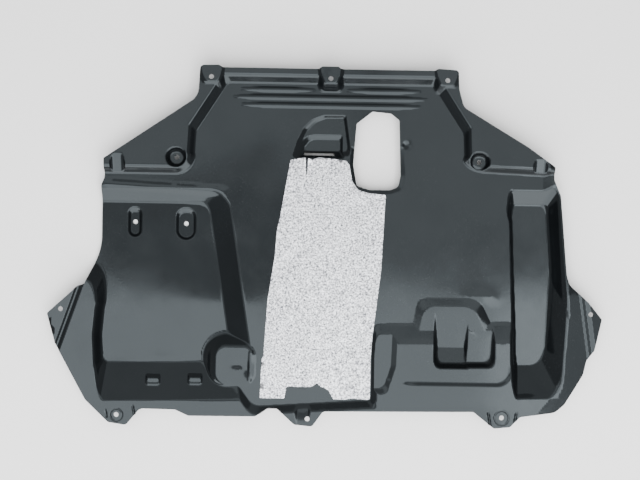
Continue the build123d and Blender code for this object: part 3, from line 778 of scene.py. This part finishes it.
# Black plastic: two noises mix its tone and its gloss, a fine one in patches puts dust on it, and a bump
# gives the mould's grain.
def plasticMaterial():
    material = bpy.data.materials.new("shield_plastic_look")
    material.use_nodes = True
    tree = material.node_tree
    shader = tree.nodes["Principled BSDF"]
    look = plasticLook
    tone = mapped(tree, noise(tree, look["toneScale"]))
    grains = mapped(tree, noise(tree, look["dustScale"], 2.0), *look["dustRange"], 0.0, look["dustMost"])
    patches = mapped(tree, noise(tree, look["patchScale"], 3.0), *look["patchRange"])
    plain = mixed(tree, tone, look["dark"], look["light"])
    dusty = mixed(tree, multiplied(tree, grains, patches), plain, look["dust"])
    tree.links.new(dusty, shader.inputs["Base Color"])
    gloss = noise(tree, look["glossScale"], 6.0, 0.65)
    tree.links.new(mapped(tree, gloss, 0.35, 0.65, *look["roughness"]), shader.inputs["Roughness"])
    shader.inputs["IOR"].default_value = look["ior"]
    shader.inputs["Specular Tint"].default_value = look["gleam"]
    peel = bumped(tree, noise(tree, look["peelScale"], 2.0), look["peelStrength"], look["peelDepth"])
    tree.links.new(peel, shader.inputs["Normal"])
    return material


foilLook = {
    "dull": (0.06, 0.065, 0.08), "bright": (0.94, 0.96, 1.0), "speckleScale": 300.0,
    "speckleRange": (0.36, 0.62), "metallic": 0.72, "roughness": (0.42, 0.62), "glossScale": 60.0,
    "crinkleScale": 190.0, "crinkleStrength": 0.8, "crinkleDepth": 0.001, "nick": (0.08, 0.08, 0.09),
    # x, y and radius of each nick
    "nicks": [(71.0, -17.0, 2.6), (52.0, -109.0, 2.2), (85.0, -148.0, 2.6), (-60.0, -96.0, 1.4)],
}


# Foil: speckled bright and dull, crinkled by a bump, with small dark nicks, each a sphere with a soft edge.
def foilMaterial():
    material = bpy.data.materials.new("reflector_foil_look")
    material.use_nodes = True
    tree = material.node_tree
    shader = tree.nodes["Principled BSDF"]
    look = foilLook
    speckle = mapped(tree, noise(tree, look["speckleScale"], 3.0, 0.75), *look["speckleRange"])
    colour = mixed(tree, speckle, look["dull"], look["bright"])
    place = tree.nodes.new("ShaderNodeTexCoord").outputs["Object"]
    for x, y, radius in look["nicks"]:
        away = tree.nodes.new("ShaderNodeVectorMath")
        away.operation = "DISTANCE"
        away.inputs[1].default_value = (x * mm, y * mm, (shield["panel"] + foil["above"]) * mm)
        tree.links.new(place, away.inputs[0])
        nick = mapped(tree, away.outputs["Value"], radius * mm * 0.5, radius * mm, 1.0, 0.0)
        colour = mixed(tree, nick, colour, look["nick"])
    tree.links.new(colour, shader.inputs["Base Color"])
    shader.inputs["Metallic"].default_value = look["metallic"]
    gloss = noise(tree, look["glossScale"], 4.0)
    tree.links.new(mapped(tree, gloss, 0.35, 0.65, *look["roughness"]), shader.inputs["Roughness"])
    crinkle = noise(tree, look["crinkleScale"], 4.0, 0.6)
    tree.links.new(bumped(tree, crinkle, look["crinkleStrength"], look["crinkleDepth"]),
                   shader.inputs["Normal"])
    return material


shieldSheet.data.materials.append(plasticMaterial())
reflectorFoil.data.materials.append(foilMaterial())
print("materials made")

# Studio: pale floor, large soft lamps over the rear half, weaker ones over the middle and the front, whose
# mirror images give the gloss its light and dark fields, and a wide one low behind that lights the slopes.
studio = {
    "floorSize": 7.0, "floorColour": (0.93, 0.93, 0.93, 1), "floorRoughness": 0.9, "roomLight": 0.55,
    "lamps": [  # name, power, size in x and y, place, tilt about x in degrees
        ("rear left", 134.0, (2.15, 3.4), (-0.275, -1.87, 3.0), 0.0),
        ("rear right", 76.0, (0.8, 3.4), (1.20, -1.87, 3.0), 0.0),
        ("rear far left", 14.0, (1.0, 3.4), (-1.85, -1.87, 3.0), 0.0),
        ("rear far right", 18.0, (1.0, 3.4), (2.10, -1.87, 3.0), 0.0),
        ("middle left", 3.2, (2.55, 0.47), (-1.13, 0.065, 3.05), 0.0),
        ("middle right", 1.6, (1.35, 0.20), (0.87, -0.07, 3.05), 0.0),
        ("front left", 16.5, (2.6, 0.9), (-1.15, 0.75, 3.1), 0.0),
        ("front right", 11.0, (1.35, 1.15), (0.87, 0.61, 3.1), 0.0),
        ("front far", 28.0, (5.0, 2.2), (0.0, 2.35, 3.1), 0.0),
        ("low", 660.0, (12.0, 3.0), (0.0, -4.3, 1.7), 83.0)],
}
bpy.ops.mesh.primitive_plane_add(size=studio["floorSize"])
floor = bpy.context.object
floor.name = "floor"
floorLook = bpy.data.materials.new("floor_look")
floorLook.use_nodes = True
floorShader = floorLook.node_tree.nodes["Principled BSDF"]
floorShader.inputs["Base Color"].default_value = studio["floorColour"]
floorShader.inputs["Roughness"].default_value = studio["floorRoughness"]
floor.data.materials.append(floorLook)

for name, power, size, place, tilt in studio["lamps"]:
    lamp = bpy.data.lights.new(name, "AREA")
    lamp.shape = "RECTANGLE"
    lamp.size, lamp.size_y = size
    lamp.energy = power
    lampObject = bpy.data.objects.new(name, lamp)
    lampObject.location = place
    lampObject.rotation_euler = (math.radians(tilt), 0, 0)
    bpy.context.collection.objects.link(lampObject)

world = bpy.data.worlds.new("room")
world.use_nodes = True
background = world.node_tree.nodes["Background"]
background.inputs["Color"].default_value = (1, 1, 1, 1)
background.inputs["Strength"].default_value = studio["roomLight"]
bpy.context.scene.world = world

# Camera straight above the shield: scale is millimetres for each pixel at the floor.
view = {"distance": 2.2, "place": (-0.011, 0.014), "turn": 1.0, "scale": 1.87, "pixels": 640, "sensor": 36.0}
camera = bpy.data.cameras.new("camera")
camera.sensor_width = view["sensor"]
camera.lens = view["sensor"] * view["distance"] / (view["scale"] * view["pixels"] * mm)
cameraObject = bpy.data.objects.new("camera", camera)
cameraObject.location = (view["place"][0], view["place"][1], view["distance"])
cameraObject.rotation_euler = (0, 0, math.radians(view["turn"]))
bpy.context.collection.objects.link(cameraObject)
bpy.context.scene.camera = cameraObject
print("studio and camera set")
